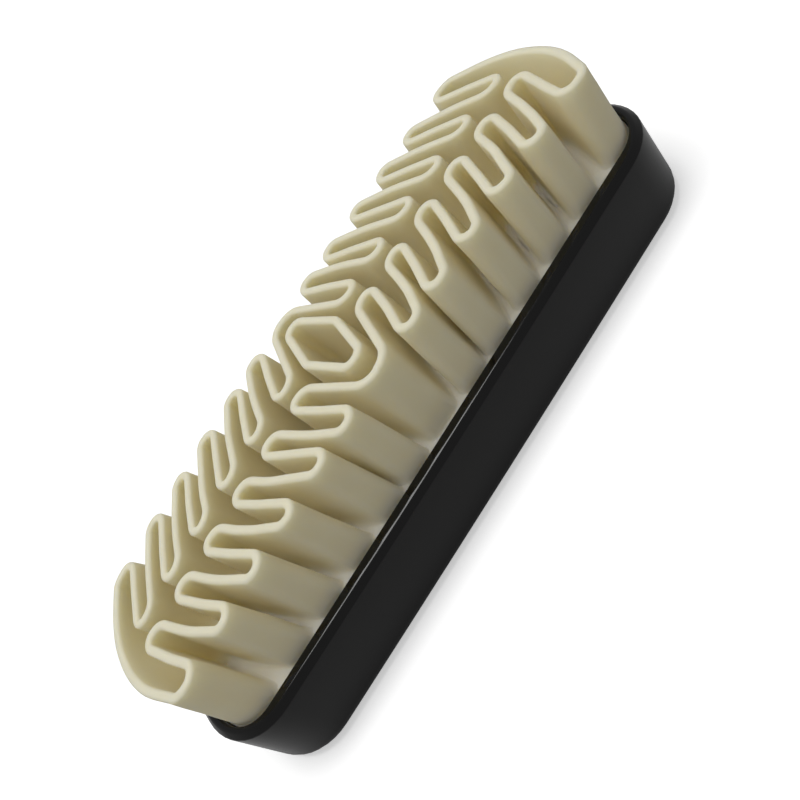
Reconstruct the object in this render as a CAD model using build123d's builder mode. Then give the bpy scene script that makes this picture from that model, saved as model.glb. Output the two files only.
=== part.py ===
from build123d import *
import os
from math import asin, cos, degrees, radians, tan

os.makedirs("parts", exist_ok=True)

# Suede brush: one moulded block of crepe rubber, glued into a hollow black plastic handle.
# The brush lies on its back. +Z points from the back to the rubber's tips and +X runs along
# the brush. The origin is the middle of the back's flat face. Sizes are in millimetres.

# Handle: a box moulding with bowed sides, open towards the rubber
handle_length = 127.2
handle_width = 42.8
handle_height = 16.6
handle_corner_radius = 13.1
side_bow = 0.4               # how far a long side swells past its own ends
end_bow = 0.25               # the same for a short side
back_edge_radius = 2.7
rim_chamfer = 1.05
rim_width = 3.0              # along the sides
end_rim_width = 2.0
opening_corner_radius = 8.5
opening_side_bow = 0.1       # how far the opening's sides and ends swell past its corners
opening_end_bow = 2.0
back_thickness = 2.5
rib_thickness = 1.8
cross_rib_count = 7
long_rib_count = 2

# Adhesive: a film between the tops of the ribs and the rubber
adhesive_thickness = 0.3

# Rubber: a slab in the opening, carrying one long folded wall and a ring in the middle
slab_thickness = 3.0
slab_depth = 1.2             # the slab's face below the rim
slab_gap = 0.3               # between the slab's edge and the handle
tip_rise = 16.5              # from the rim to the wall's tips at mid length
tip_thickness = 1.6
wall_draft = 0.4             # how much a wall's foot stands out past its tip, each side
crown_drop = 2.0             # how much lower the tips are at the two ends
crown_skim = 0.02            # what the crown takes off the tips at mid length
fold_margin = 0.65           # between the wall's foot and the handle at the outer folds
end_margin = 0.45             # the same at the two ends
end_flare = 2.6               # how far the end lobes lean out from foot to tip
end_lobe_length = 5.95        # from the last fold's station to the end lobe's foot

# Folds: the wall's centreline zigzags between the long axis and the sides
folds_each_way = 6
inner_fold_reach = 2.1       # from the long axis to the centreline
middle_lobe_setback = 0.85   # how far the middle lobe falls short of the other outer folds
middle_lobe_half_length = 2.7
middle_lobe_radius = 3.8
inner_fold_radius_in = 3.0   # at the end of an inner fold nearer the brush's middle
inner_fold_radius_out = 1.5  # at the end nearer the brush's end
outer_fold_radius_in = 1.9
outer_fold_radius_out = 2.35
leg_radius = 45.0            # of the slight bend halfway along each leg
tip_corner_radius = 3.0      # of an end lobe's two corners, at the tips
tip_end_swell = 3.376        # how far its end swells past the corners, at the tips
least_inside_radius = 0.15

# Places along the brush in shares of the pitch, counted from each fold's station
inner_fold_in_share = -0.112
inner_fold_out_share = 0.387
outer_fold_in_share = -0.457
outer_fold_out_share = 0.014
first_fold_shift_share = 0.169
last_fold_in_share = -0.32
leg_in_bow_share = 0.074
leg_out_bow_share = 0.021
run_share = 0.98             # the part of a run that the curves at its two ends may take
tip_arc_share = 0.75         # the part of an end lobe's half width that its curved end takes
foot_arc_share = 0.55

# Ring: a hollow six-sided post in the middle of the rubber
ring_half_length = 4.45      # along the brush, to its two points
ring_half_width = 10.45      # across the brush
ring_flat_half_length = 1.6
ring_corner_radius = 2.0
ring_step = 0.7              # the ring's tip above the wall's

cut_overrun = 20.0           # how far the cut along the tips runs past the rubber

# Heights and half sizes that follow from these
slab_top = handle_height - slab_depth
rib_top = slab_top - slab_thickness - adhesive_thickness
wall_tip = handle_height + tip_rise
opening_half_length = handle_length / 2 - end_rim_width
opening_half_width = handle_width / 2 - rim_width
tip_half = tip_thickness / 2
foot_half = tip_half + wall_draft
outer_fold_reach = opening_half_width - fold_margin - foot_half
foot_end = opening_half_length - end_margin - foot_half
tip_end = foot_end + end_flare
fold_pitch = (foot_end - end_lobe_length) / folds_each_way

# The end lobes' feet run beside the opening's ends and corners
opening_corner_y = opening_half_width - opening_side_bow
opening_end_radius = (opening_corner_y ** 2 / opening_end_bow + opening_end_bow) / 2
foot_end_radius = opening_end_radius - end_margin - foot_half
foot_corner_radius = opening_corner_radius - fold_margin - foot_half
tip_arc_end = tip_arc_share * outer_fold_reach
tip_end_radius = (tip_arc_end ** 2 / tip_end_swell + tip_end_swell) / 2


def draw_plan(sketch, half_length, half_width, end_swell, side_swell, corner_radius):
    """Draw a plan with bowed ends and sides and round corners."""
    corner_x = half_length - end_swell
    corner_y = half_width - side_swell
    with BuildLine() as outline:
        ThreePointArc((-corner_x, -corner_y), (0, -half_width), (corner_x, -corner_y))
        ThreePointArc((corner_x, -corner_y), (half_length, 0), (corner_x, corner_y))
        ThreePointArc((corner_x, corner_y), (0, half_width), (-corner_x, corner_y))
        ThreePointArc((-corner_x, corner_y), (-half_length, 0), (-corner_x, -corner_y))
    make_face(outline.edges())
    fillet(sketch.vertices(), corner_radius)


def draw_opening(sketch, inset):
    """Draw the plan of the handle's opening, drawn in all round by inset."""
    half_length = opening_half_length - inset
    half_width = opening_half_width - inset
    corner_radius = opening_corner_radius - inset
    draw_plan(sketch, half_length, half_width, opening_end_bow, opening_side_bow, corner_radius)


def draw_ribs():
    """Draw the grid of ribs inside the handle, each running into the walls."""
    rib_run = 2 * opening_half_length + end_rim_width
    rib_reach = 2 * opening_half_width + rim_width
    with GridLocations(2 * opening_half_length / (cross_rib_count + 1), 0, cross_rib_count, 1):
        Rectangle(rib_thickness, rib_reach)
    with GridLocations(0, 2 * opening_half_width / (long_rib_count + 1), 1, long_rib_count):
        Rectangle(rib_run, rib_thickness)


def quarter_of_folds():
    """List the centreline's corners and radii from the middle lobe to an end lobe's flank."""
    middle = (inner_fold_reach + outer_fold_reach) / 2
    last_x = middle_lobe_half_length
    corners = [(last_x, outer_fold_reach - middle_lobe_setback, middle_lobe_radius)]
    for fold in range(1, folds_each_way + 1):
        station = fold * fold_pitch
        first_shift = first_fold_shift_share * fold_pitch if fold == 1 else 0
        inner_in = station + inner_fold_in_share * fold_pitch
        inner_out = station + inner_fold_out_share * fold_pitch
        outer_in = station + outer_fold_in_share * fold_pitch + first_shift
        outer_out = station + outer_fold_out_share * fold_pitch + first_shift
        if fold == folds_each_way:
            outer_in = station + last_fold_in_share * fold_pitch
        if fold > 1:
            leg_bow = leg_in_bow_share * fold_pitch
            corners.append(((last_x + inner_in) / 2 + leg_bow, middle, leg_radius))
        corners.append((inner_in, inner_fold_reach, inner_fold_radius_in))
        corners.append((inner_out, inner_fold_reach, inner_fold_radius_out))
        leg_bow = leg_out_bow_share * fold_pitch
        corners.append(((outer_in + inner_out) / 2 + leg_bow, middle, leg_radius))
        corners.append((outer_in, outer_fold_reach, outer_fold_radius_in))
        if fold < folds_each_way:
            corners.append((outer_out, outer_fold_reach, outer_fold_radius_out))
        last_x = outer_out
    return corners


def fitted_radii(places, radii):
    """Widen radii too small for the wall's foot, and shrink those whose curves would meet."""
    least = foot_half + least_inside_radius
    widened = [max(radius, least) if radius else 0 for radius in radii]
    reaches = []
    for index, place in enumerate(places):
        before = places[index - 1]
        after = places[(index + 1) % len(places)]
        half_turn = radians((place - before).get_angle(after - place)) / 2
        reaches.append(widened[index] * tan(half_turn))
    fitted = []
    for index, place in enumerate(places):
        fit = 1
        for beside in (index - 1, (index + 1) % len(places)):
            room = run_share * (places[beside] - place).length
            if reaches[index] + reaches[beside] > room:
                fit = min(fit, room / (reaches[index] + reaches[beside]))
        fitted.append(widened[index] * fit)
    return fitted


def parallel_line(corners, distance, close):
    """Draw the line beside a path of corners, distance to its left, with matching curves."""
    places = [Vector(x, y) for x, y, radius in corners]
    radii = fitted_radii(places, [radius for x, y, radius in corners])
    points = []
    for index, place in enumerate(places):
        run_in = place - places[index - 1]
        run_out = places[(index + 1) % len(places)] - place
        if not close and index == 0:
            run_in = run_out
        if not close and index == len(places) - 1:
            run_out = run_in
        side_in = run_in.normalized().rotate(Axis.Z, 90)
        side_out = run_out.normalized().rotate(Axis.Z, 90)
        points.append(place + (side_in + side_out) * (distance / (1 + side_in.dot(side_out))))
        radii[index] += distance if run_in.cross(run_out).Z < 0 else -distance
    FilletPolyline(*points, radius=radii if close else radii[1:-1], close=close)


def draw_wall(end_x, end_radius, corner_radius, arc_share, distance):
    """Draw the area inside the folded wall's centreline, moved outwards by distance."""
    arc_end = arc_share * outer_fold_reach
    slope = asin(arc_end / end_radius)
    arc_end_x = end_x - end_radius + end_radius * cos(slope)
    corner_x = arc_end_x - (outer_fold_reach - arc_end) * tan(slope)
    path = [(0, outer_fold_reach - middle_lobe_setback, 0)] + quarter_of_folds()
    path += [(corner_x, outer_fold_reach, corner_radius), (arc_end_x, arc_end, 0)]
    with BuildLine() as outline:
        parallel_line(path, distance, False)
        CenterArc((end_x - end_radius, 0), end_radius + distance, 0, degrees(slope))
        mirror(about=Plane.YZ)
        mirror(about=Plane.XZ)
    make_face(outline.edges())


def draw_ring(distance):
    """Draw the area inside the ring's centreline, moved outwards by distance."""
    flat = ring_flat_half_length
    across = ring_half_width
    places = [(flat, across), (ring_half_length, 0), (flat, -across)]
    places += [(-flat, -across), (-ring_half_length, 0), (-flat, across)]
    with BuildLine() as outline:
        parallel_line([(x, y, ring_corner_radius) for x, y in places], distance, True)
    make_face(outline.edges())


def loft_wall(side, mode):
    """Loft one side of the folded wall, the outside where side is 1 and the inside where it is -1."""
    with BuildSketch(Plane.XY.offset(slab_top)) as foot:
        draw_wall(foot_end, foot_end_radius, foot_corner_radius, foot_arc_share, side * foot_half)
    with BuildSketch(Plane.XY.offset(wall_tip)) as tip:
        draw_wall(tip_end, tip_end_radius, tip_corner_radius, tip_arc_share, side * tip_half)
    loft([foot.sketch, tip.sketch], ruled=True, mode=mode)


def loft_ring(side, mode):
    """Loft one side of the ring, chosen in the same way."""
    with BuildSketch(Plane.XY.offset(slab_top)) as foot:
        draw_ring(side * foot_half)
    with BuildSketch(Plane.XY.offset(wall_tip + ring_step)) as tip:
        draw_ring(side * tip_half)
    loft([foot.sketch, tip.sketch], ruled=True, mode=mode)


# Handle shell: back, walls and rim in one moulding, with a grid of ribs under the rubber
with BuildPart() as handle_shell:
    with BuildSketch() as outer_plan:
        half_length = handle_length / 2
        draw_plan(outer_plan, half_length, handle_width / 2, end_bow, side_bow, handle_corner_radius)
    extrude(amount=handle_height)
    fillet(handle_shell.edges().group_by(Axis.Z)[0], back_edge_radius)
    chamfer(handle_shell.edges().group_by(Axis.Z)[-1], rim_chamfer)
    with BuildSketch(Plane.XY.offset(back_thickness)) as cavity_plan:
        draw_opening(cavity_plan, 0)
    extrude(amount=handle_height - back_thickness, mode=Mode.SUBTRACT)
    with BuildSketch(Plane.XY.offset(back_thickness)):
        draw_ribs()
    extrude(amount=rib_top - back_thickness)

# Adhesive layer: the film that lies on the ribs and ends where the slab does
with BuildPart() as adhesive_layer:
    with BuildSketch(Plane.XY.offset(rib_top)):
        draw_ribs()
    extrude(amount=adhesive_thickness)
    with BuildSketch(Plane.XY.offset(rib_top)) as film_plan:
        draw_opening(film_plan, slab_gap)
    extrude(amount=adhesive_thickness, mode=Mode.INTERSECT)

# Crepe rubber: folded wall, crowned along the brush, then the slab and the ring
with BuildPart() as crepe_rubber:
    loft_wall(1, Mode.ADD)
    loft_wall(-1, Mode.SUBTRACT)
    with BuildSketch(Plane.XZ):
        with BuildLine():
            end_tip = wall_tip - crown_drop
            crown = ThreePointArc(
                (-tip_end, end_tip), (0, wall_tip - crown_skim), (tip_end, end_tip)
            )
            run_right = Line(crown @ 1, crown @ 1 + crown % 1 * cut_overrun)
            run_left = Line(crown @ 0, crown @ 0 - crown % 0 * cut_overrun)
            top_x = tip_end + cut_overrun
            top_z = wall_tip + cut_overrun
            Polyline(run_right @ 1, (top_x, top_z), (-top_x, top_z), run_left @ 1)
        make_face()
    extrude(amount=outer_fold_reach + cut_overrun, both=True, mode=Mode.SUBTRACT)
    with BuildSketch(Plane.XY.offset(slab_top)) as slab_plan:
        draw_opening(slab_plan, slab_gap)
    extrude(amount=-slab_thickness)
    loft_ring(1, Mode.ADD)
    loft_ring(-1, Mode.SUBTRACT)

handle_shell.part.label = "handle_shell"
export_step(handle_shell.part, "parts/handle_shell.step")
adhesive_layer.part.label = "adhesive_layer"
export_step(adhesive_layer.part, "parts/adhesive_layer.step")
crepe_rubber.part.label = "crepe_rubber"
export_step(crepe_rubber.part, "parts/crepe_rubber.step")
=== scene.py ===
import bmesh
import bpy
from bpy.props import FloatProperty, FloatVectorProperty, IntProperty, PointerProperty
from collections import namedtuple
from functools import partial
from math import asin, atan2, cos, pi, radians, sin, sqrt, tan
from mathutils import Matrix, Vector


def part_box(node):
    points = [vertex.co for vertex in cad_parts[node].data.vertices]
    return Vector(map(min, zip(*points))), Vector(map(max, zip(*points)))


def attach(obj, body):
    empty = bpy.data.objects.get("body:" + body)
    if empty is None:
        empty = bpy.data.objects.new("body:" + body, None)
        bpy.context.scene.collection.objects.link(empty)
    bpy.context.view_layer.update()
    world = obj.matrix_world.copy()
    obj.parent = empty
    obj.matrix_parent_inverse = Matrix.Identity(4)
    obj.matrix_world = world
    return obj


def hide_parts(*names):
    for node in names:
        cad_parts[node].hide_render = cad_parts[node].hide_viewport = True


bl_info = {
    "name": "Crepe Rubber Suede Brush",
    "version": (1, 0, 0),
    "blender": (4, 5, 0),
    "location": "View3D > Sidebar > Suede Brush",
    "description": "Dresses the frame of a suede brush: glossy handle, adhesive and folded crepe rubber",
    "category": "Add Mesh",
}

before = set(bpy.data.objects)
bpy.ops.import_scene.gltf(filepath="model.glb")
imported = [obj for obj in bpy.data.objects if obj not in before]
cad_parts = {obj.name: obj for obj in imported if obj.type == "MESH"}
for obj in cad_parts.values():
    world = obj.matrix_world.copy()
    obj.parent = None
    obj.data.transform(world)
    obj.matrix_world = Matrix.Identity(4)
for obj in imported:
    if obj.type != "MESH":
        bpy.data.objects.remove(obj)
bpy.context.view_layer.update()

MM = 0.001
HANDLE_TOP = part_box("handle_shell")[1]
RUBBER_LOW, RUBBER_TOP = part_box("crepe_rubber")
RIB_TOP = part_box("adhesive_layer")[0].z

# The folds' corners in shares of their pitch, counted from each fold's station
INNER_FOLD_SHARES = (-0.112, 0.387)
OUTER_FOLD_SHARES = (-0.457, 0.014)
FIRST_FOLD_SHIFT_SHARE = 0.169
LAST_FOLD_SHARE = -0.32
LEG_BOW_SHARES = (0.074, 0.021)

# The part of an end lobe's half width that its curved end takes, at the foot and at the tip
FOOT_ARC_SHARE, TIP_ARC_SHARE = 0.55, 0.75

# The curve at the foot takes this part of a hollow bend, and less next to the handle's rim,
# which is where a corner lies past these parts of the brush's half length and half width
HOLLOW_SHARE = 0.9
RIM_SHARE = 0.3
BESIDE_RIM_SHARES = (0.95, 0.9)

# The part of a run between two corners that the curves at its ends may take
RUN_SHARE = 0.96

# The part of the wall's height over which the painted light, paler on the slab and at the wall's foot,
# fades
FOOT_LIGHT_SHARE = 0.25

# The wall goes a little way into the slab, and its curve at the foot starts just under its face
SUNK, DIP = 0.5 * MM, 0.02 * MM

# The least radius of a hollow bend, and the distance within which a wall's places are one
LEAST_HOLLOW = 0.2 * MM
WELD = 0.001 * MM

# The grid that keeps the slab's flat faces small
SLAB_GRID = 2.3 * MM

# The wall strays from its line over this length, and a part of that goes into its height.
# The noise seldom leaves the middle of its range, so it is raised to fill it.
STRAY_LENGTH = 9 * MM
STRAY_GAIN = 4.0
LIFT_SHARE = 0.2
NOISE_MIDDLE = (0.5, 0.5, 0.5)

# Lengths over which the finishes change: smudges and ripples on the plastic, mottle and grain
# on the rubber
SMUDGE, RIPPLE = 14 * MM, 5 * MM
MOTTLE, GRAIN = 7 * MM, 0.45 * MM

# The marks in the adhesive run along the brush, so their pattern is squeezed across it
STROKES = (1.0, 6.0, 1.0)

# Straight runs in the curves of a plan, of an edge and of a lobe's end, and rows up a wall
PLAN_STEPS = 12
EDGE_STEPS = 5
LOBE_STEPS = 10
FOOT_STEPS, WALL_ROWS, TIP_STEPS = 5, 7, 5

# Edges sharper than these angles stay crisp
CRISP_PLASTIC = radians(35)
CRISP_RUBBER = radians(40)

# The camera as solved on the folds' ridges, in the frame's axes
CAMERA_PLACE = Vector((-10.28, -99.78, 99.33)) * MM
CAMERA_TURN = (39.931, 42.365, -42.361)
CAMERA_LENS = 32.176
CAMERA_SHIFT = (0.1022, -0.0367)

Corner = namedtuple("Corner", "foot tip foot_radius tip_radius")
RAILS = ("foot_outside", "foot_inside", "tip_outside", "tip_inside")


def linear(hex_colour):
    """Turn an sRGB colour such as 7F7F7F to the linear values that shaders use."""
    shares = [int(hex_colour[place:place + 2], 16) / 255 for place in (0, 2, 4)]
    return [s / 12.92 if s <= 0.04045 else ((s + 0.055) / 1.055) ** 2.4 for s in shares] + [1.0]


def colour_setting(name, description, hex_colour):
    """Make a colour property with an sRGB colour as its default."""
    return FloatVectorProperty(name=name, description=description, default=linear(hex_colour),
                               size=4, min=0.0, max=1.0, subtype="COLOR")


def length_setting(name, description, millimetres):
    """Make a length property with a default in millimetres."""
    return FloatProperty(
        name=name, description=description, default=millimetres * MM, unit="LENGTH")


class HandleSettings(bpy.types.PropertyGroup):
    corner_radius: length_setting("Corner Radius", "Round of the handle's corners in plan", 13.1)
    side_bow: length_setting("Side Bow", "How far a long side swells past its own ends", 0.4)
    end_bow: length_setting("End Bow", "How far a short side swells past its own ends", 0.25)
    back_edge_radius: length_setting("Back Edge", "Round of the edge round the back", 2.7)
    rim_chamfer: length_setting("Rim Chamfer", "Bevel round the outside of the rim", 1.05)
    edge_radius: length_setting("Edge Radius", "Round that the mould leaves on every edge", 0.45)
    rim_round: length_setting("Rim Round", "Round of the edge between the rim and its bevel", 1.0)
    rim_width: length_setting("Rim Width", "Width of the rim along the sides", 3.0)
    end_rim_width: length_setting("End Rim Width", "Width of the rim at the two ends", 2.0)
    opening_corner_radius: length_setting("Opening Corner", "Round of the opening's corners", 8.5)
    opening_side_bow: length_setting("Opening Side Bow", "Swell of the opening's long sides", 0.1)
    opening_end_bow: length_setting("Opening End Bow", "Swell of the opening's short sides", 2.0)
    back_thickness: length_setting("Back Thickness", "Thickness of the back behind the ribs", 2.5)
    rib_thickness: length_setting("Rib Thickness", "Thickness of the ribs that carry the rubber", 1.8)
    cross_ribs: IntProperty(
        name="Cross Ribs", description="Number of ribs across the brush", default=7)
    long_ribs: IntProperty(
        name="Long Ribs", description="Number of ribs along the brush", default=2)
    plastic_colour: colour_setting("Plastic Colour", "Black of the moulded plastic", "060606")


class AdhesiveSettings(bpy.types.PropertyGroup):
    thin_colour: colour_setting("Thin Colour", "Amber where the film dried thin", "D8BC84")
    thick_colour: colour_setting("Thick Colour", "Amber where the film dried thick", "B08B4C")
    mark_length: length_setting("Mark Length", "Length of the marks that the brush left", 9)


class RubberSettings(bpy.types.PropertyGroup):
    dark_colour: colour_setting("Dark Colour", "Darker cream of the mottle", "EEE2C0")
    light_colour: colour_setting("Light Colour", "Lighter cream of the mottle", "F4EACA")
    # Painted light: a paler, greyer cream on the slab and the wall's foot stands in for the light that
    # falls there
    painted_foot_light_colour: colour_setting("Painted Foot Light Colour", "Painted light, paler on the slab and round the wall's foot", "ECE8DA")
    slab_edge_radius: length_setting("Slab Edge Radius", "Round of the slab's top edge", 0.3)
    slab_depth: length_setting("Slab Depth", "Depth of the slab's face below the rim", 1.2)
    slab_gap: length_setting("Slab Gap", "Gap between the slab's edge and the handle", 0.3)
    tip_thickness: length_setting("Tip Thickness", "Thickness of the wall at its tip", 1.6)
    tip_radius: length_setting("Tip Radius", "Round of the wall's two top edges", 0.6)
    draft: length_setting("Draft", "How much a wall's foot stands out past its tip, each side", 0.4)
    foot_fillet: length_setting("Foot Fillet", "Curve where the wall runs into the slab", 0.9)
    crown_drop: length_setting("Crown Drop", "How much lower the tips are at the two ends", 2.0)
    fold_margin: length_setting(
        "Fold Margin", "Between the wall's foot and the handle at the outer folds", 0.65)
    end_margin: length_setting(
        "End Margin", "Between the wall's foot and the handle at the two ends", 0.45)
    end_flare: length_setting("End Flare", "How far the end lobes lean out from foot to tip", 2.6)
    end_lobe_length: length_setting(
        "End Lobe Length", "From the last fold's station to the end lobe's foot", 5.95)
    folds_each_way: IntProperty(
        name="Folds Each Way", description="Folds from the middle to one end", default=6)
    inner_fold_reach: length_setting(
        "Inner Fold Reach", "From the long axis to the inner folds' centreline", 2.1)
    middle_lobe_setback: length_setting(
        "Middle Lobe Setback", "How far the middle lobe falls short of the others", 0.85)
    middle_lobe_half_length: length_setting(
        "Middle Lobe Half Length", "From the middle to the lobe's corner", 2.7)
    middle_lobe_radius: length_setting("Middle Lobe Radius", "Round of the middle lobe's corners", 3.8)
    inner_fold_radii: FloatVectorProperty(
        name="Inner Fold Radii", description="Rounds of an inner fold, the middle's side first",
        default=(3.0 * MM, 1.5 * MM), size=2, unit="LENGTH")
    outer_fold_radii: FloatVectorProperty(
        name="Outer Fold Radii", description="Rounds of an outer fold, the middle's side first",
        default=(1.9 * MM, 2.35 * MM), size=2, unit="LENGTH")
    outer_foot_radius: length_setting(
        "Outer Foot Radius", "Round of an outer fold's corners at its foot", 1.5)
    leg_radius: length_setting("Leg Radius", "Slight bend halfway along each leg", 45)
    tip_corner_radius: length_setting(
        "Tip Corner Radius", "Round of an end lobe's corners at the tips", 3.0)
    tip_end_swell: length_setting(
        "Tip End Swell", "How far an end lobe's end swells past its corners", 3.376)
    ring_half_length: length_setting("Ring Half Length", "From the middle to the ring's points", 4.45)
    ring_half_width: length_setting("Ring Half Width", "From the middle to the ring's flats", 10.45)
    ring_flat_half_length: length_setting(
        "Ring Flat Half Length", "Half the length of one of the ring's flats", 1.6)
    ring_corner_radius: length_setting("Ring Corner Radius", "Round of the ring's six corners", 2.6)
    ring_step: length_setting("Ring Step", "Height of the ring's tip above the wall's", 0.7)
    unevenness: length_setting("Unevenness", "How far the soft wall strays from its line", 0.16)
    corner_steps: IntProperty(
        name="Corner Steps", description="Straight runs in each rounded corner", default=7)
    seed: IntProperty(name="Seed", description="Seed of the unevenness", default=4)


class StageSettings(bpy.types.PropertyGroup):
    board_colour: colour_setting("Board Colour", "White of the board as it is seen", "F5F5F5")
    bounce_colour: colour_setting("Bounce Colour", "Grey of the board as it lights the brush", "AAAAAA")
    board_lift: FloatProperty(
        name="Board Lift", description="White that the camera sees in the deepest shadow",
        default=0.46, min=0.0, max=1.0, subtype="FACTOR")
    plain_from: length_setting("Plain From", "Distance past which the board turns to plain white", 120)
    plain_at: length_setting("Plain At", "Distance at which the board is plain white", 500)
    mirrored_white: FloatProperty(
        name="Mirrored White", description="How white the board is in the handle's gloss",
        default=0.2, min=0.0, max=1.0, subtype="FACTOR")
    lamp_side: length_setting("Lamp Side", "How far the lamp stands along the brush", -40)
    lamp_back: length_setting("Lamp Back", "How far the lamp stands behind the brush", 50)
    floor_size: FloatProperty(
        name="Floor Size", description="Length of the floor's side", default=12.0, unit="LENGTH")
    floor_gap: length_setting("Floor Gap", "How far the floor lies below the back", 0.05)
    lamp_height: FloatProperty(
        name="Lamp Height", description="Height of the overhead lamp", default=0.6, unit="LENGTH")
    lamp_size: FloatProperty(
        name="Lamp Size", description="Side of the overhead lamp", default=0.3, unit="LENGTH")
    lamp_power: FloatProperty(
        name="Lamp Power", description="Power of the overhead lamp", default=2.0, unit="POWER")
    fill: FloatProperty(
        name="Fill", description="Strength of the even light from all round", default=0.3)


def add_node(tree, kind, inputs=None, **settings):
    """Add a node, set it up, and give each input a value, an output or a node's first output."""
    node = tree.nodes.new(kind)
    for name, value in settings.items():
        setattr(node, name, value)
    for key, value in (inputs or {}).items():
        if isinstance(value, bpy.types.Node):
            value = next(output for output in value.outputs if output.enabled)
        if isinstance(value, bpy.types.NodeSocket):
            tree.links.new(value, node.inputs[key])
        else:
            node.inputs[key].default_value = value
    return node


def new_material(name):
    """Make an empty material and return it with its node tree."""
    material = bpy.data.materials.new(name)
    material.use_nodes = True
    material.node_tree.nodes.clear()
    return material, material.node_tree


def gloss_plastic(handle):
    """Black ABS, injection moulded in a polished mould: a mirror-like skin that is not quite flat."""
    material, tree = new_material("black_moulded_abs")
    place = add_node(tree, "ShaderNodeTexCoord").outputs["Object"]
    smudges = add_node(tree, "ShaderNodeTexNoise", {
        "Vector": place, "Scale": 1 / SMUDGE, "Detail": 4.0, "Roughness": 0.6})
    roughness = add_node(tree, "ShaderNodeMapRange", {
        "Value": smudges, "From Min": 0.3, "From Max": 0.7, "To Min": 0.09, "To Max": 0.17})
    ripple = add_node(tree, "ShaderNodeTexNoise", {
        "Vector": place, "Scale": 1 / RIPPLE, "Detail": 2.0})
    bump = add_node(tree, "ShaderNodeBump", {
        "Height": ripple, "Strength": 0.35, "Distance": 0.03 * MM})
    shader = add_node(tree, "ShaderNodeBsdfPrincipled", {
        "Base Color": handle.plastic_colour, "Roughness": roughness,
        "IOR": 1.46, "Specular IOR Level": 0.46, "Normal": bump})
    add_node(tree, "ShaderNodeOutputMaterial", {"Surface": shader})
    return material


def contact_adhesive(adhesive):
    """Contact adhesive, brushed on and dried: an amber film with drying marks."""
    material, tree = new_material("dried_contact_adhesive")
    place = add_node(tree, "ShaderNodeTexCoord").outputs["Object"]
    strokes = add_node(tree, "ShaderNodeMapping", {"Vector": place, "Scale": STROKES})
    marks = add_node(tree, "ShaderNodeTexNoise", {
        "Vector": strokes, "Scale": 1 / adhesive.mark_length, "Detail": 5.0})
    colour = add_node(tree, "ShaderNodeMix", {
        "Factor": marks, "A": adhesive.thick_colour, "B": adhesive.thin_colour}, data_type="RGBA")
    bump = add_node(tree, "ShaderNodeBump", {
        "Height": marks, "Strength": 0.5, "Distance": 0.1 * MM})
    shader = add_node(tree, "ShaderNodeBsdfPrincipled", {
        "Base Color": colour, "Roughness": 0.35, "IOR": 1.5, "Normal": bump})
    add_node(tree, "ShaderNodeOutputMaterial", {"Surface": shader})
    return material


def crepe_rubber(rubber, slab_top, tip_top):
    """Crepe rubber, moulded from natural latex: cream, dull, a little translucent and mottled."""
    material, tree = new_material("moulded_crepe_rubber")
    place = add_node(tree, "ShaderNodeTexCoord").outputs["Object"]
    mottle = add_node(tree, "ShaderNodeTexNoise", {
        "Vector": place, "Scale": 1 / MOTTLE, "Detail": 5.0, "Roughness": 0.6})
    cream = add_node(tree, "ShaderNodeMix", {
        "Factor": mottle, "A": rubber.dark_colour, "B": rubber.light_colour}, data_type="RGBA")
    height = add_node(tree, "ShaderNodeSeparateXYZ", {"Vector": place}).outputs["Z"]
    # Painted light: the slab and the foot of the wall are paler, fading out up the wall
    painted_foot_light = add_node(tree, "ShaderNodeMapRange", {
        "Value": height, "From Min": slab_top,
        "From Max": slab_top + FOOT_LIGHT_SHARE * (tip_top - slab_top),
        "To Min": 0.8, "To Max": 0.0}, interpolation_type="SMOOTHSTEP")
    colour = add_node(tree, "ShaderNodeMix", {
        "Factor": painted_foot_light, "A": cream, "B": rubber.painted_foot_light_colour}, data_type="RGBA")
    grain = add_node(tree, "ShaderNodeTexNoise", {
        "Vector": place, "Scale": 1 / GRAIN, "Detail": 3.0, "Roughness": 0.7})
    bump = add_node(tree, "ShaderNodeBump", {
        "Height": grain, "Strength": 0.3, "Distance": 0.06 * MM})
    shader = add_node(tree, "ShaderNodeBsdfPrincipled", {
        "Base Color": colour, "Roughness": 0.62, "IOR": 1.52,
        "Subsurface Weight": 0.9, "Subsurface Radius": (1.0, 0.92, 0.7),
        "Subsurface Scale": 4.0 * MM, "Normal": bump})
    add_node(tree, "ShaderNodeOutputMaterial", {"Surface": shader})
    return material


def pale_floor(stage):
    """Matt white board that the camera sees as plain white, save where a shadow falls."""
    material, tree = new_material("matt_white_board")
    rays = add_node(tree, "ShaderNodeLightPath").outputs
    seen = rays["Is Camera Ray"]
    whiteness = add_node(tree, "ShaderNodeMath", {
        0: rays["Is Glossy Ray"], 1: stage.mirrored_white, 2: seen}, operation="MULTIPLY_ADD")
    colour = add_node(tree, "ShaderNodeMix", {
        "Factor": whiteness, "A": stage.bounce_colour, "B": stage.board_colour},
        data_type="RGBA")
    board = add_node(tree, "ShaderNodeBsdfDiffuse", {"Color": colour})
    place = add_node(tree, "ShaderNodeTexCoord").outputs["Object"]
    away = add_node(tree, "ShaderNodeVectorMath", {0: place}, operation="LENGTH")
    level = add_node(tree, "ShaderNodeMapRange", {
        "Value": away, "From Min": stage.plain_from, "From Max": stage.plain_at,
        "To Min": stage.board_lift, "To Max": 1.0})
    lift = add_node(tree, "ShaderNodeMath", {0: seen, 1: level}, operation="MULTIPLY")
    glow = add_node(tree, "ShaderNodeEmission", {"Strength": lift})
    both = add_node(tree, "ShaderNodeAddShader", {0: board, 1: glow})
    add_node(tree, "ShaderNodeOutputMaterial", {"Surface": both})
    return material


def new_object(name, mesh, material=None):
    """Put a mesh into the scene as an object, with a material if one is given."""
    thing = bpy.data.objects.new(name, mesh)
    bpy.context.scene.collection.objects.link(thing)
    if material:
        mesh.materials.clear()
        mesh.materials.append(material)
    return thing


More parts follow.
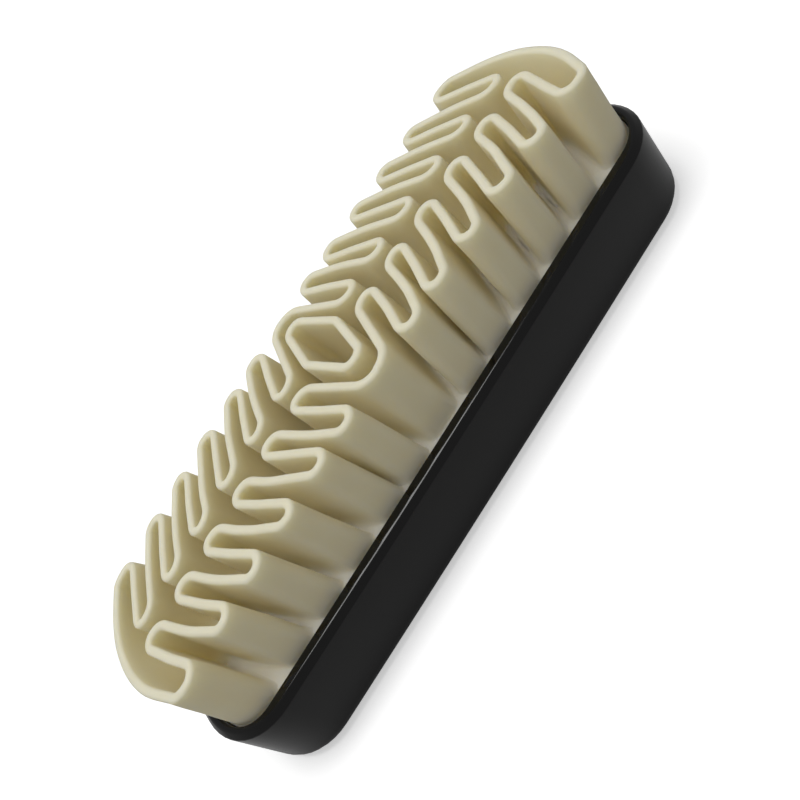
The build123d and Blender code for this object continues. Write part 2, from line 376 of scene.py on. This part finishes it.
def settled(thing, name, remove=()):
    """Turn an object with its modifiers to a plain mesh under a new name, and drop its helpers."""
    evaluated = thing.evaluated_get(bpy.context.evaluated_depsgraph_get())
    mesh = bpy.data.meshes.new_from_object(evaluated)
    mesh.name = name
    for helper in (thing, *remove):
        bpy.data.objects.remove(helper, do_unlink=True)
    return new_object(name, mesh)


def cut(thing, other, operation):
    """Add a boolean of another closed mesh to an object."""
    boolean = thing.modifiers.new(other.name, "BOOLEAN")
    boolean.operation = operation
    boolean.solver = "MANIFOLD"
    boolean.object = other


def smooth(mesh, angle):
    """Shade a mesh smooth, with its edges sharper than an angle kept crisp."""
    mesh.shade_smooth()
    mesh.set_sharp_from_angle(angle=angle)


def rounded_line(corners):
    """List the points of a line through corners of x, y and radius, each one rounded off."""
    points = []
    for index, (x, y, radius) in enumerate(corners):
        corner = Vector((x, y))
        if not radius:
            points.append(corner)
            continue
        before = (Vector(corners[index - 1][:2]) - corner).normalized()
        after = (Vector(corners[index + 1][:2]) - corner).normalized()
        half_angle = before.angle(after) / 2
        centre = corner + (before + after).normalized() * radius / sin(half_angle)
        start = corner + before * radius / tan(half_angle) - centre
        end = corner + after * radius / tan(half_angle) - centre
        turn = atan2(start.cross(end), start.dot(end))
        for step in range(EDGE_STEPS + 1):
            points.append(centre + Matrix.Rotation(turn * step / EDGE_STEPS, 2) @ start)
    return points


def bowed_plan(half_length, half_width, end_bow, side_bow, corner_radius):
    """List places and outward normals round a plan with bowed sides and round corners."""
    side_radius = ((half_length - end_bow) ** 2 / side_bow + side_bow) / 2
    end_radius = ((half_width - side_bow) ** 2 / end_bow + end_bow) / 2
    side_centre = Vector((0, half_width - side_radius))
    end_centre = Vector((half_length - end_radius, 0))
    apart = side_centre - end_centre
    from_end, from_side = end_radius - corner_radius, side_radius - corner_radius
    along = (apart.length_squared + from_end ** 2 - from_side ** 2) / (2 * apart.length)
    off = sqrt(from_end ** 2 - along ** 2)
    direction = apart.normalized()
    choices = [end_centre + direction * along + Vector((-direction.y, direction.x)) * side
               for side in (-off, off)]
    corner_centre = max(choices, key=lambda place: place.x + place.y)
    end_slope = atan2(*reversed(corner_centre - end_centre))
    side_slope = atan2(*reversed(corner_centre - side_centre))
    arcs = ((end_centre, end_radius, 0, end_slope),
            (corner_centre, corner_radius, end_slope, side_slope),
            (side_centre, side_radius, side_slope, pi / 2))
    quarter = []
    for centre, radius, first, last in arcs:
        for step in range(PLAN_STEPS):
            angle = first + (last - first) * step / PLAN_STEPS
            normal = Vector((cos(angle), sin(angle)))
            quarter.append((centre + normal * radius, normal))
    side_middle = [(Vector((0, half_width)), Vector((0, 1)))]
    half = quarter + side_middle + [flipped(pair, -1, 1) for pair in reversed(quarter)]
    return half + [flipped(pair, 1, -1) for pair in reversed(half[1:-1])]


def flipped(pair, x_sign, y_sign):
    """Mirror a place and a normal."""
    return tuple(Vector((vector.x * x_sign, vector.y * y_sign)) for vector in pair)


def stacked_rings(name, rings):
    """Make a closed mesh from rings of places, each with its height, and flat caps."""
    mesh = bpy.data.meshes.new(name)
    built = bmesh.new()
    rows = [[built.verts.new((*place, z)) for place in places] for places, z in rings]
    for low, high in zip(rows, rows[1:]):
        for index in range(len(low)):
            beside = (index + 1) % len(low)
            built.faces.new((low[index], low[beside], high[beside], high[index]))
    built.faces.new(list(reversed(rows[0])))
    built.faces.new(rows[-1])
    bmesh.ops.recalc_face_normals(built, faces=built.faces)
    built.to_mesh(mesh)
    built.free()
    return mesh


def gridded(mesh, half_length, half_width):
    """Cut a mesh's faces along a grid, so that no flat face stays large."""
    built = bmesh.new()
    built.from_mesh(mesh)
    for normal, reach in ((Vector((1, 0, 0)), half_length), (Vector((0, 1, 0)), half_width)):
        count = int(reach / SLAB_GRID)
        for line in range(-count, count + 1):
            everything = built.verts[:] + built.edges[:] + built.faces[:]
            bmesh.ops.bisect_plane(built, geom=everything, plane_co=normal * line * SLAB_GRID,
                                   plane_no=normal)
    built.to_mesh(mesh)
    built.free()
    return mesh


def drawn_in(plan, inset):
    """Move a plan's places in by an inset."""
    return [place - normal * inset for place, normal in plan]


def handle_plans(handle):
    """Draw the handle's outer plan and the plan of its opening."""
    outer = bowed_plan(HANDLE_TOP.x, HANDLE_TOP.y, handle.end_bow, handle.side_bow,
                       handle.corner_radius)
    opening = bowed_plan(HANDLE_TOP.x - handle.end_rim_width, HANDLE_TOP.y - handle.rim_width,
                         handle.opening_end_bow, handle.opening_side_bow,
                         handle.opening_corner_radius)
    return outer, opening


def row_tree():
    """Build the node tree that sets out a row of equal ribs."""
    tree = bpy.data.node_groups.new("row_of_ribs", "GeometryNodeTree")
    tree.interface.new_socket(name="Geometry", in_out="INPUT", socket_type="NodeSocketGeometry")
    for name, kind in (("Count", "NodeSocketInt"), ("Step", "NodeSocketVector"),
                       ("First", "NodeSocketVector"), ("Size", "NodeSocketVector"),
                       ("Material", "NodeSocketMaterial")):
        tree.interface.new_socket(name=name, in_out="INPUT", socket_type=kind)
    tree.interface.new_socket(name="Geometry", in_out="OUTPUT", socket_type="NodeSocketGeometry")
    given = add_node(tree, "NodeGroupInput").outputs
    places = add_node(tree, "GeometryNodeMeshLine", {
        "Count": given["Count"], "Start Location": given["First"], "Offset": given["Step"]},
        mode="OFFSET")
    rib = add_node(tree, "GeometryNodeMeshCube", {"Size": given["Size"]})
    ribs = add_node(tree, "GeometryNodeInstanceOnPoints", {"Points": places, "Instance": rib})
    real = add_node(tree, "GeometryNodeRealizeInstances", {"Geometry": ribs})
    finished = add_node(tree, "GeometryNodeSetMaterial", {
        "Geometry": real, "Material": given["Material"]})
    add_node(tree, "NodeGroupOutput", {"Geometry": finished})
    return tree


def run_tree(thing, tree, **values):
    """Run a node tree on an object, with its inputs given by their names in small letters."""
    modifier = thing.modifiers.new(tree.name, "NODES")
    modifier.node_group = tree
    for item in tree.interface.items_tree:
        key = item.name.lower().replace(" ", "_")
        if item.in_out == "INPUT" and key in values:
            modifier[item.identifier] = values[key]


def rib_row(tree, name, count, step, size, middle, material):
    """Make one row of ribs, centred on a place."""
    row = new_object(name, bpy.data.meshes.new(name))
    first = middle - step * (count - 1) / 2
    run_tree(row, tree, count=count, step=step, first=first, size=size, material=material)
    return settled(row, name)


class BRUSH_OT_handle(bpy.types.Operator):
    """Build the handle: one glossy moulding with a rim, a rounded back and ribs inside"""
    bl_idname = "brush.handle"
    bl_label = "Handle"

    def execute(self, context):
        handle = context.scene.brush_handle
        plastic = gloss_plastic(handle)
        outer, opening = handle_plans(handle)
        top, chamfer, edge = HANDLE_TOP.z, handle.rim_chamfer, handle.edge_radius
        back = handle.back_edge_radius
        outside = rounded_line([
            (2 * back, 0, 0), (0, 0, back), (0, top - chamfer, edge),
            (chamfer, top, handle.rim_round), (2 * chamfer, top, 0)])[:-1]
        inside = rounded_line([(-2 * edge, top, 0), (0, top, edge), (0, RIB_TOP, 0)])[1:]
        rings = [(drawn_in(outer, inset), z) for inset, z in outside]
        rings += [(drawn_in(opening, inset), z) for inset, z in inside]
        shell = new_object("shell", stacked_rings("shell", rings))
        floor, over = handle.back_thickness, 2 * edge
        places = drawn_in(opening, 0)
        pockets = stacked_rings("pockets", [(places, floor), (places, RIB_TOP + over)])
        pockets = new_object("pockets", pockets)
        tree = row_tree()
        length = 2 * (HANDLE_TOP.x - handle.end_rim_width)
        width = 2 * (HANDLE_TOP.y - handle.rim_width)
        middle = Vector((0, 0, (floor + RIB_TOP) / 2))
        tall = RIB_TOP - floor
        cross = rib_row(tree, "cross_ribs", handle.cross_ribs,
                        Vector((length / (handle.cross_ribs + 1), 0, 0)),
                        Vector((handle.rib_thickness, width + over, tall)), middle, plastic)
        along = rib_row(tree, "long_ribs", handle.long_ribs,
                        Vector((0, width / (handle.long_ribs + 1), 0)),
                        Vector((length + over, handle.rib_thickness, tall)), middle, plastic)
        cut(pockets, cross, "DIFFERENCE")
        cut(pockets, along, "DIFFERENCE")
        pockets = settled(pockets, "pockets", (cross, along))
        cut(shell, pockets, "DIFFERENCE")
        piece = settled(shell, "handle_moulding", (pockets,))
        piece.data.materials.clear()
        piece.data.materials.append(plastic)
        smooth(piece.data, CRISP_PLASTIC)
        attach(piece, "root")
        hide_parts("handle_shell")
        return {"FINISHED"}


class BRUSH_OT_adhesive(bpy.types.Operator):
    """Finish the film of adhesive between the ribs and the rubber"""
    bl_idname = "brush.adhesive"
    bl_label = "Adhesive"

    def execute(self, context):
        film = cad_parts["adhesive_layer"]
        film.material_slots[0].material = contact_adhesive(context.scene.brush_adhesive)
        return {"FINISHED"}


def fold_corners(rubber, outer_reach, foot_half, foot_end, foot_radii, tip_end):
    """List the wall's corners over a quarter of the brush, from its middle to one end."""
    pitch = (foot_end - rubber.end_lobe_length) / rubber.folds_each_way
    middle = (rubber.inner_fold_reach + outer_reach) / 2
    outer_foot = rubber.outer_foot_radius - foot_half
    corners = []

    def add(x, y, radius, foot_radius=None):
        corners.append(Corner((x, y), (x, y), foot_radius or radius, radius))

    last_x = rubber.middle_lobe_half_length
    add(last_x, outer_reach - rubber.middle_lobe_setback, rubber.middle_lobe_radius, outer_foot)
    for fold in range(1, rubber.folds_each_way + 1):
        station = fold * pitch
        shift = FIRST_FOLD_SHIFT_SHARE * pitch if fold == 1 else 0
        inner_in, inner_out = [station + share * pitch for share in INNER_FOLD_SHARES]
        outer_in, outer_out = [station + share * pitch + shift for share in OUTER_FOLD_SHARES]
        if fold == rubber.folds_each_way:
            outer_in = station + LAST_FOLD_SHARE * pitch
        if fold > 1:
            add((last_x + inner_in) / 2 + LEG_BOW_SHARES[0] * pitch, middle, rubber.leg_radius)
        add(inner_in, rubber.inner_fold_reach, rubber.inner_fold_radii[0])
        add(inner_out, rubber.inner_fold_reach, rubber.inner_fold_radii[1])
        add((outer_in + inner_out) / 2 + LEG_BOW_SHARES[1] * pitch, middle, rubber.leg_radius)
        add(outer_in, outer_reach, rubber.outer_fold_radii[0], outer_foot)
        if fold < rubber.folds_each_way:
            add(outer_out, outer_reach, rubber.outer_fold_radii[1], outer_foot)
        last_x = outer_out
    foot = end_lobe(foot_end, foot_radii[0], FOOT_ARC_SHARE * outer_reach, outer_reach)
    tip_arc = TIP_ARC_SHARE * outer_reach
    tip_end_radius = (tip_arc ** 2 / rubber.tip_end_swell + rubber.tip_end_swell) / 2
    tip = end_lobe(tip_end, tip_end_radius, tip_arc, outer_reach)
    corners.append(Corner(foot[0], tip[0], foot_radii[1], rubber.tip_corner_radius))
    return corners + [Corner(low, high, 0, 0) for low, high in zip(foot[1:], tip[1:])]


def end_lobe(end_x, end_radius, arc_reach, outer_reach):
    """List an end lobe's corner and the points of its curved end, up to the long axis."""
    slope = asin(arc_reach / end_radius)
    centre_x = end_x - end_radius
    arc_x = centre_x + end_radius * cos(slope)
    points = [(arc_x - (outer_reach - arc_reach) * tan(slope), outer_reach)]
    for step in range(LOBE_STEPS + 1):
        angle = slope * (1 - step / LOBE_STEPS)
        points.append((centre_x + end_radius * cos(angle), end_radius * sin(angle)))
    return points


def mirrored(corner, x_sign, y_sign):
    """Mirror a corner."""
    places = [(x * x_sign, y * y_sign) for x, y in (corner.foot, corner.tip)]
    return Corner(*places, corner.foot_radius, corner.tip_radius)


def fitted_radii(places, radii):
    """Shrink the radii whose curves would meet on the run between two corners."""
    count = len(places)
    reaches = []
    for index, place in enumerate(places):
        run_in, run_out = place - places[index - 1], places[(index + 1) % count] - place
        reaches.append(radii[index] * tan(run_in.angle(run_out) / 2))
    fitted = []
    for index, place in enumerate(places):
        share = 1
        for beside in (index - 1, (index + 1) % count):
            room = RUN_SHARE * (places[beside] - place).length
            if reaches[index] + reaches[beside] > room:
                share = min(share, room / (reaches[index] + reaches[beside]))
        fitted.append(radii[index] * share)
    return fitted


def path_mesh(name, corners, rubber, beside_rim):
    """Make a ring of edges through a path's corners, which run clockwise, with the wall's rails."""
    count = len(corners)
    fillet, tip_half = rubber.foot_fillet, rubber.tip_thickness / 2
    foot_half = tip_half + rubber.draft
    mesh = bpy.data.meshes.new(name)
    edges = [(index, (index + 1) % count) for index in range(count)]
    mesh.from_pydata([(*corner.foot, 0) for corner in corners], edges, [])
    vectors = {rail: [] for rail in RAILS}
    vectors["heading"] = []
    numbers = {rail + "_radius": [] for rail in RAILS}
    numbers["spread_outside"], numbers["spread_inside"] = [], []
    for index, corner in enumerate(corners):
        before, after = corners[index - 1], corners[(index + 1) % count]
        for end, half, radius in (("foot", foot_half, corner.foot_radius),
                                  ("tip", tip_half, corner.tip_radius)):
            place = Vector(getattr(corner, end))
            run_in = (place - Vector(getattr(before, end))).normalized()
            run_out = (Vector(getattr(after, end)) - place).normalized()
            mitre = (run_in + run_out).orthogonal() / (1 + run_in.dot(run_out))
            hollow_outside = run_in.cross(run_out) > 0
            for side, sense in (("outside", 1), ("inside", -1)):
                shift = mitre * half * sense
                vectors[f"{end}_{side}"] += [*(place + shift), 0]
                hollow = hollow_outside == (side == "outside")
                bend = max(radius - half, LEAST_HOLLOW) if hollow else radius + half
                numbers[f"{end}_{side}_radius"].append(bend if radius else 0)
                if end == "foot":
                    room = min(HOLLOW_SHARE * bend, fillet) if hollow and radius else fillet
                    tight = side == "outside" and beside_rim(corner)
                    numbers["spread_" + side].append(RIM_SHARE * room if tight else room)
            if end == "foot":
                vectors["heading"] += [*(run_in + run_out).normalized(), 0]
    for rail in RAILS:
        flat = vectors[rail]
        places = [Vector(flat[start:start + 3]) for start in range(0, len(flat), 3)]
        numbers[rail + "_radius"] = fitted_radii(places, numbers[rail + "_radius"])
    for key, values in numbers.items():
        mesh.attributes.new(key, "FLOAT", "POINT").data.foreach_set("value", values)
    for key, values in vectors.items():
        mesh.attributes.new(key, "FLOAT_VECTOR", "POINT").data.foreach_set("vector", values)
    return mesh


def section_mesh(name, rubber, rise):
    """Make the wall's section as a ring of edges: each point's side, height, inset and spread."""
    fillet, tip_radius = rubber.foot_fillet, rubber.tip_radius
    points = [(-SUNK, 0, 1.0)]
    for step in range(FOOT_STEPS + 1):
        angle = pi / 2 * step / FOOT_STEPS
        points.append((fillet * (1 - cos(angle)) - DIP, 0, 1 - sin(angle)))
    wall_top = rise - tip_radius
    for row in range(1, WALL_ROWS + 1):
        points.append((fillet + (wall_top - fillet) * row / WALL_ROWS, 0, 0))
    for step in range(1, TIP_STEPS + 1):
        angle = pi / 2 * step / TIP_STEPS
        points.append((wall_top + tip_radius * sin(angle), tip_radius * (1 - cos(angle)), 0))
    sides = [(1, *point) for point in points] + [(-1, *point) for point in reversed(points)]
    count = len(sides)
    mesh = bpy.data.meshes.new(name)
    tip_half = rubber.tip_thickness / 2
    mesh.from_pydata([(point[0] * tip_half, point[1], 0) for point in sides],
                     [(index, (index + 1) % count) for index in range(count)], [])
    for column, key in enumerate(("side", "height", "inset", "spread_share")):
        values = [point[column] for point in sides]
        mesh.attributes.new(key, "FLOAT", "POINT").data.foreach_set("value", values)
    return mesh


def wall_tree():
    """Build the node tree that moulds a wall between rails at its foot and rails at its tip."""
    tree = bpy.data.node_groups.new("moulded_wall", "GeometryNodeTree")
    tree.interface.new_socket(name="Geometry", in_out="INPUT", socket_type="NodeSocketGeometry")
    for name, kind in (("Section", "NodeSocketObject"), ("Corner Steps", "NodeSocketInt"),
                       ("Slab Top", "NodeSocketFloat"), ("Rise", "NodeSocketFloat"),
                       ("Crown Drop", "NodeSocketFloat"), ("Crown Length", "NodeSocketFloat"),
                       ("Unevenness", "NodeSocketFloat"), ("Seed", "NodeSocketInt"),
                       ("Material", "NodeSocketMaterial")):
        tree.interface.new_socket(name=name, in_out="INPUT", socket_type=kind)
    tree.interface.new_socket(name="Geometry", in_out="OUTPUT", socket_type="NodeSocketGeometry")
    node = partial(add_node, tree)
    given = node("NodeGroupInput").outputs
    rails = [rail + part for rail in RAILS for part in ("", "_at", "_left")]
    vectors = {
        name: node("GeometryNodeInputNamedAttribute", {"Name": name}, data_type="FLOAT_VECTOR")
        for name in ("heading", *rails)}
    numbers = {
        name: node("GeometryNodeInputNamedAttribute", {"Name": name})
        for name in ("side", "height", "inset", "spread_share", "spread_outside", "spread_inside",
                     *(rail + "_radius" for rail in RAILS))}

    # Each rail is rounded by itself, and gives its places and its left side to the first one
    path = node("GeometryNodeMeshToCurve", {"Mesh": given["Geometry"]})
    position = node("GeometryNodeInputPosition")
    tangent = node("GeometryNodeInputTangent")
    index = node("GeometryNodeInputIndex")
    agreement = node("ShaderNodeVectorMath", {0: tangent, 1: vectors["heading"]},
                     operation="DOT_PRODUCT")
    sense = node("ShaderNodeMath", {0: agreement}, operation="SIGN")
    across = node("ShaderNodeVectorMath", {0: (0, 0, 1), 1: tangent}, operation="CROSS_PRODUCT")
    left = node("ShaderNodeVectorMath", {0: across, "Scale": sense}, operation="SCALE")
    swept_along = None
    for rail in RAILS:
        moved = node("GeometryNodeSetPosition", {"Geometry": path, "Position": vectors[rail]})
        rounded = node("GeometryNodeFilletCurve", {
            "Curve": moved, "Count": given["Corner Steps"],
            "Radius": numbers[rail + "_radius"], "Limit Radius": True}, mode="POLY")
        swept_along = swept_along or rounded
        for part, value in (("_at", position), ("_left", left)):
            sample = node("GeometryNodeSampleIndex", {
                "Geometry": rounded, "Value": value, "Index": index},
                data_type="FLOAT_VECTOR", domain="POINT")
            swept_along = node("GeometryNodeStoreNamedAttribute", {
                "Geometry": swept_along, "Name": rail + part, "Value": sample},
                data_type="FLOAT_VECTOR", domain="POINT")
    section = node("GeometryNodeObjectInfo", {"Object": given["Section"]}).outputs["Geometry"]
    ring = node("GeometryNodeMeshToCurve", {"Mesh": section})
    swept = node("GeometryNodeCurveToMesh", {"Curve": swept_along, "Profile Curve": ring})

    # Each point lies between its foot rail and its tip rail, by its height
    is_outside = node("ShaderNodeMath", {0: numbers["side"], 1: 0.0}, operation="GREATER_THAN")
    spread = node("ShaderNodeMix", {
        "Factor": is_outside, "A": numbers["spread_inside"], "B": numbers["spread_outside"]})
    spread = node("ShaderNodeMath", {0: spread, 1: numbers["spread_share"]}, operation="MULTIPLY")
    inset = node("ShaderNodeMath", {0: numbers["inset"], 1: -1.0}, operation="MULTIPLY")
    ends = []
    for end, shift in (("foot", spread), ("tip", inset)):
        parts = [
            node("ShaderNodeMix", {
                "Factor": is_outside, "A": vectors[end + "_inside" + part],
                "B": vectors[end + "_outside" + part]}, data_type="VECTOR")
            for part in ("_at", "_left")]
        shift = node("ShaderNodeMath", {0: shift, 1: numbers["side"]}, operation="MULTIPLY")
        move = node("ShaderNodeVectorMath", {0: parts[1], "Scale": shift}, operation="SCALE")
        ends.append(node("ShaderNodeVectorMath", {0: parts[0], 1: move}, operation="ADD"))
    share = node("ShaderNodeMapRange", {
        "Value": numbers["height"], "From Min": 0.0, "From Max": given["Rise"]})
    place = node("ShaderNodeMix", {"Factor": share, "A": ends[0], "B": ends[1]}, data_type="VECTOR")

    # The soft wall strays from its line, more so towards its tip
    lifted = node("ShaderNodeCombineXYZ", {"Z": numbers["height"]})
    seen_from = node("ShaderNodeVectorMath", {0: vectors["foot_outside_at"], 1: lifted},
                     operation="ADD")
    noise = node("ShaderNodeTexNoise", {
        "Vector": seen_from, "W": given["Seed"], "Scale": 1 / STRAY_LENGTH, "Detail": 1.0},
        noise_dimensions="4D").outputs["Color"]
    stray = node("ShaderNodeVectorMath", {0: noise, 1: NOISE_MIDDLE}, operation="SUBTRACT")
    amount = node("ShaderNodeMath", {0: share, 1: given["Unevenness"]}, operation="MULTIPLY")
    amount = node("ShaderNodeMath", {0: amount, 1: STRAY_GAIN}, operation="MULTIPLY")
    stray = node("ShaderNodeVectorMath", {0: stray, "Scale": amount}, operation="SCALE")
    place = node("ShaderNodeVectorMath", {0: place, 1: stray}, operation="ADD")

    # The tips lie lower towards the two ends of the brush
    parts = node("ShaderNodeSeparateXYZ", {"Vector": place}).outputs
    along = node("ShaderNodeMath", {0: parts["X"], 1: given["Crown Length"]}, operation="DIVIDE")
    square = node("ShaderNodeMath", {0: along, 1: along}, operation="MULTIPLY")
    drop = node("ShaderNodeMath", {0: square, 1: given["Crown Drop"]}, operation="MULTIPLY")
    lift = node("ShaderNodeMath", {0: parts["Z"], 1: LIFT_SHARE, 2: given["Slab Top"]},
                operation="MULTIPLY_ADD")
    raised = node("ShaderNodeMath", {0: numbers["height"], 1: lift}, operation="ADD")
    lowered = node("ShaderNodeMath", {0: drop, 1: share}, operation="MULTIPLY")
    z = node("ShaderNodeMath", {0: raised, 1: lowered}, operation="SUBTRACT")
    final = node("ShaderNodeCombineXYZ", {"X": parts["X"], "Y": parts["Y"], "Z": z})
    moved = node("GeometryNodeSetPosition", {"Geometry": swept, "Position": final})
    real = node("GeometryNodeRealizeInstances", {"Geometry": moved})
    finished = node("GeometryNodeSetMaterial", {"Geometry": real, "Material": given["Material"]})
    node("NodeGroupOutput", {"Geometry": finished})
    return tree


def moulded_wall(name, tree, rubber, rise, corners, beside_rim, **values):
    """Mould one wall along a path of corners."""
    thing = new_object(name, path_mesh(name, corners, rubber, beside_rim))
    outline = new_object(name + "_section", section_mesh(name + "_section", rubber, rise))
    run_tree(thing, tree, section=outline, rise=rise, corner_steps=rubber.corner_steps,
             unevenness=rubber.unevenness, seed=rubber.seed, **values)
    wall = settled(thing, name, (outline,))
    built = bmesh.new()
    built.from_mesh(wall.data)
    bmesh.ops.remove_doubles(built, verts=built.verts, dist=WELD)
    bmesh.ops.recalc_face_normals(built, faces=built.faces)
    built.to_mesh(wall.data)
    built.free()
    return wall


class BRUSH_OT_rubber(bpy.types.Operator):
    """Mould the crepe rubber: a slab, a folded wall standing on it and a ring in the middle"""
    bl_idname = "brush.rubber"
    bl_label = "Crepe Rubber"

    def execute(self, context):
        scene = context.scene
        rubber, handle = scene.brush_rubber, scene.brush_handle
        slab_top = HANDLE_TOP.z - rubber.slab_depth
        most_lift = STRAY_GAIN / 2 * LIFT_SHARE * rubber.unevenness
        tip_top = RUBBER_TOP.z - rubber.ring_step - most_lift
        cream = crepe_rubber(rubber, slab_top, tip_top)
        foot_half = rubber.tip_thickness / 2 + rubber.draft
        opening_x = HANDLE_TOP.x - handle.end_rim_width
        opening_y = HANDLE_TOP.y - handle.rim_width
        outer_reach = opening_y - rubber.fold_margin - foot_half
        foot_end = opening_x - rubber.end_margin - foot_half
        corner_y = opening_y - handle.opening_side_bow
        opening_radius = (corner_y ** 2 / handle.opening_end_bow + handle.opening_end_bow) / 2
        foot_radii = (opening_radius - rubber.end_margin - foot_half,
                      handle.opening_corner_radius - rubber.fold_margin - foot_half)
        tip_end = foot_end + rubber.end_flare
        quarter = fold_corners(rubber, outer_reach, foot_half, foot_end, foot_radii, tip_end)
        half = quarter + [mirrored(corner, 1, -1) for corner in reversed(quarter[:-1])]
        whole = half + [mirrored(corner, -1, 1) for corner in reversed(half)]

        def beside_rim(corner):
            x, y = corner.foot
            x_share, y_share = BESIDE_RIM_SHARES
            return abs(x) > x_share * foot_end or abs(y) > y_share * outer_reach

        tree = wall_tree()
        rise = tip_top - slab_top
        shared = {"slab_top": slab_top, "crown_length": tip_end, "material": cream}
        wall = moulded_wall("folded_wall", tree, rubber, rise, whole, beside_rim,
                            crown_drop=rubber.crown_drop, **shared)
        flat, long, wide = (rubber.ring_flat_half_length, rubber.ring_half_length,
                            rubber.ring_half_width)
        places = [(flat, wide), (long, 0), (flat, -wide), (-flat, -wide), (-long, 0), (-flat, wide)]
        radius = rubber.ring_corner_radius
        corners = [Corner(place, place, radius, radius) for place in places]
        ring = moulded_wall("ring", tree, rubber, rise + rubber.ring_step, corners,
                            lambda corner: False, crown_drop=0.0, **shared)
        opening = handle_plans(handle)[1]
        edge, gap = rubber.slab_edge_radius, rubber.slab_gap
        side = rounded_line([(gap + 2 * edge, slab_top, 0), (gap, slab_top, edge),
                             (gap, RUBBER_LOW.z, 0)])
        rings = [(drawn_in(opening, inset), z) for inset, z in reversed(side)]
        block = gridded(stacked_rings("slab", rings), opening_x, opening_y)
        slab = new_object("slab", block, cream)
        cut(slab, wall, "UNION")
        cut(slab, ring, "UNION")
        piece = settled(slab, "folded_rubber", (wall, ring))
        smooth(piece.data, CRISP_RUBBER)
        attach(piece, "root")
        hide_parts("crepe_rubber")
        return {"FINISHED"}


class BRUSH_OT_stage(bpy.types.Operator):
    """Set up the floor, the studio light and the camera"""
    bl_idname = "brush.stage"
    bl_label = "Stage"

    def execute(self, context):
        stage = context.scene.brush_stage
        half = stage.floor_size / 2
        mesh = bpy.data.meshes.new("floor")
        corners = [(-half, -half), (half, -half), (half, half), (-half, half)]
        mesh.from_pydata([(x, y, -stage.floor_gap) for x, y in corners], [], [range(4)])
        new_object("floor", mesh, pale_floor(stage))

        lamp = bpy.data.lights.new("overhead_softbox", "AREA")
        lamp.size = stage.lamp_size
        lamp.energy = stage.lamp_power
        overhead = bpy.data.objects.new("overhead_softbox", lamp)
        overhead.location = (stage.lamp_side, stage.lamp_back, stage.lamp_height)
        overhead.rotation_euler = (-overhead.location).to_track_quat("-Z", "Y").to_euler()
        context.scene.collection.objects.link(overhead)

        world = bpy.data.worlds.new("studio")
        world.use_nodes = True
        tree = world.node_tree
        tree.nodes.clear()
        seen = add_node(tree, "ShaderNodeLightPath").outputs["Is Camera Ray"]
        strength = add_node(tree, "ShaderNodeMix", {"Factor": seen, "A": stage.fill, "B": 1.0})
        light = add_node(tree, "ShaderNodeBackground", {
            "Color": linear("FFFFFF"), "Strength": strength})
        add_node(tree, "ShaderNodeOutputWorld", {"Surface": light})
        context.scene.world = world

        lens = bpy.data.cameras.new("camera")
        lens.lens = CAMERA_LENS
        lens.shift_x, lens.shift_y = CAMERA_SHIFT
        lens.clip_start = 1 * MM
        camera = bpy.data.objects.new("camera", lens)
        camera.location = CAMERA_PLACE
        camera.rotation_euler = [radians(turn) for turn in CAMERA_TURN]
        context.scene.collection.objects.link(camera)
        context.scene.camera = camera
        context.scene.view_settings.view_transform = "Standard"
        return {"FINISHED"}


class BRUSH_PT_panel(bpy.types.Panel):
    bl_idname = "BRUSH_PT_panel"
    bl_label = "Suede Brush"
    bl_space_type = "VIEW_3D"
    bl_region_type = "UI"
    bl_category = "Suede Brush"

    def draw(self, context):
        for operator in OPERATORS:
            self.layout.operator(operator.bl_idname)


OPERATORS = (BRUSH_OT_handle, BRUSH_OT_adhesive, BRUSH_OT_rubber, BRUSH_OT_stage)
SETTINGS = {"brush_handle": HandleSettings, "brush_adhesive": AdhesiveSettings,
            "brush_rubber": RubberSettings, "brush_stage": StageSettings}


def register():
    for kind in (*SETTINGS.values(), *OPERATORS, BRUSH_PT_panel):
        bpy.utils.register_class(kind)
    for name, kind in SETTINGS.items():
        setattr(bpy.types.Scene, name, PointerProperty(type=kind))


def unregister():
    for name in SETTINGS:
        delattr(bpy.types.Scene, name)
    for kind in reversed((*SETTINGS.values(), *OPERATORS, BRUSH_PT_panel)):
        bpy.utils.unregister_class(kind)


def main():
    register()
    bpy.ops.brush.handle()
    bpy.ops.brush.adhesive()
    bpy.ops.brush.rubber()
    bpy.ops.brush.stage()


if __name__ == "__main__":
    main()
